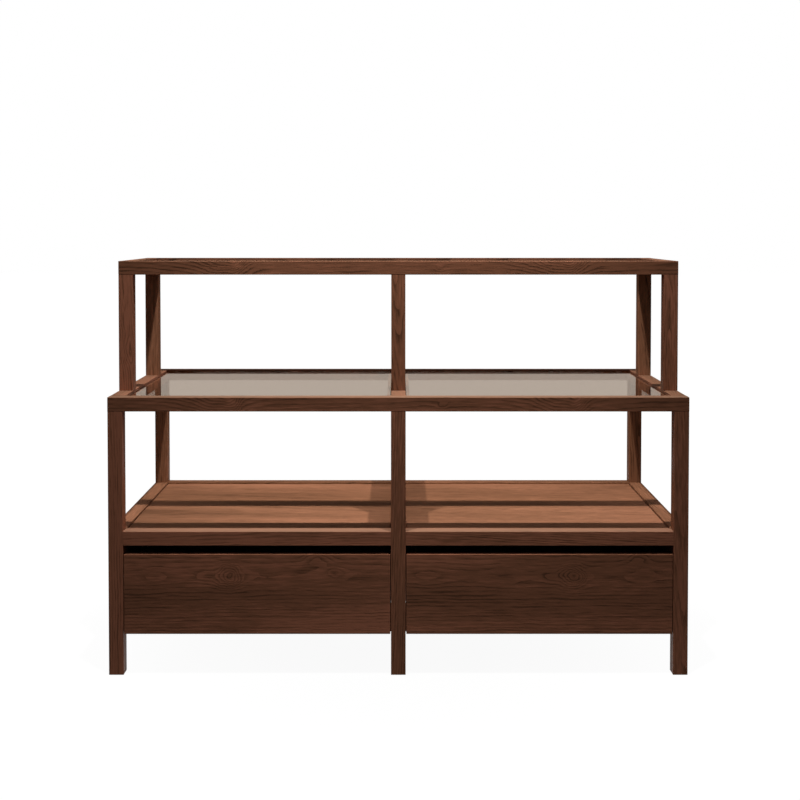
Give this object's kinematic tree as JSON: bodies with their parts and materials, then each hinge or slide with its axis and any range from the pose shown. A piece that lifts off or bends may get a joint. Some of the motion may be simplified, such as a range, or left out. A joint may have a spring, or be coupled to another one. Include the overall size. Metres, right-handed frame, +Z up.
{
  "type": "display console",
  "caption": "Free-standing two-tier display console: dark stained oak frame with inset glass tops, an open boarded shelf and flush handle-less drawers under it.",
  "frame": {"origin": "on the floor under the middle of the frame", "axes": "+Z up, +X along the width to the right as seen from the front, front towards -Y"},
  "size_m": [1.5, 0.68, 1.07],
  "materials": {
    "stained_oak": "dark walnut stain, satin lacquer",
    "drawer_oak": "clear matt lacquer",
    "clear_glass": "polished, faint bronze tint",
    "slide_steel": "zinc plated"
  },
  "bodies": {
    "frame": {"base_post_front_left": "stained_oak", "base_post_front_centre": "stained_oak", "base_post_front_right": "stained_oak", "base_post_rear_left": "stained_oak", "base_post_rear_centre": "stained_oak", "base_post_rear_right": "stained_oak", "tier_rail_front": "stained_oak", "tier_rail_rear": "stained_oak", "tier_rail_left": "stained_oak", "tier_rail_centre": "stained_oak", "tier_rail_right": "stained_oak", "shelf_rail_front_left": "stained_oak", "shelf_rail_front_right": "stained_oak", "shelf_rail_rear_left": "stained_oak", "shelf_rail_rear_right": "stained_oak", "shelf_rail_left": "stained_oak", "shelf_rail_centre": "stained_oak", "shelf_rail_right": "stained_oak", "shelf_board_left": "stained_oak", "shelf_board_right": "stained_oak", "side_panel_left": "stained_oak", "centre_divider": "stained_oak", "side_panel_right": "stained_oak", "back_panel_left": "stained_oak", "back_panel_right": "stained_oak", "upper_post_front_left": "stained_oak", "upper_post_front_centre": "stained_oak", "upper_post_front_right": "stained_oak", "upper_post_rear_left": "stained_oak", "upper_post_rear_centre": "stained_oak", "upper_post_rear_right": "stained_oak", "upper_rail_front": "stained_oak", "upper_rail_rear": "stained_oak", "upper_rail_left": "stained_oak", "upper_rail_right": "stained_oak", "tier_glass_left": "clear_glass", "tier_glass_right": "clear_glass", "upper_glass": "clear_glass", "slide_left_left_outer": "slide_steel", "slide_left_right_outer": "slide_steel", "slide_right_left_outer": "slide_steel", "slide_right_right_outer": "slide_steel"},
    "drawer_left": {"drawer_left_front": "stained_oak", "drawer_left_side_left": "drawer_oak", "drawer_left_side_right": "drawer_oak", "drawer_left_back": "drawer_oak", "drawer_left_base": "drawer_oak", "slide_left_left_inner": "slide_steel", "slide_left_right_inner": "slide_steel"},
    "slides_left": {"slide_left_left_middle": "slide_steel", "slide_left_right_middle": "slide_steel"},
    "drawer_right": {"drawer_right_front": "stained_oak", "drawer_right_side_left": "drawer_oak", "drawer_right_side_right": "drawer_oak", "drawer_right_back": "drawer_oak", "drawer_right_base": "drawer_oak", "slide_right_left_inner": "slide_steel", "slide_right_right_inner": "slide_steel"},
    "slides_right": {"slide_right_left_middle": "slide_steel", "slide_right_right_middle": "slide_steel"}
  },
  "joints": [
    {"name": "drawer_left_slide", "type": "slide", "parent": "frame", "child": "drawer_left", "axis": [0, -1, 0], "range_m": [0, 0.5]},
    {"name": "slides_left_follow", "type": "slide", "parent": "frame", "child": "slides_left", "axis": [0, -1, 0], "range_m": [0, 0.25]},
    {"name": "drawer_right_slide", "type": "slide", "parent": "frame", "child": "drawer_right", "axis": [0, -1, 0], "range_m": [0, 0.5]},
    {"name": "slides_right_follow", "type": "slide", "parent": "frame", "child": "slides_right", "axis": [0, -1, 0], "range_m": [0, 0.25]}
  ],
  "couplings": [
    {"joint": "slides_left_follow", "follows": "drawer_left_slide", "ratio": 0.5},
    {"joint": "slides_right_follow", "follows": "drawer_right_slide", "ratio": 0.5}
  ]
}
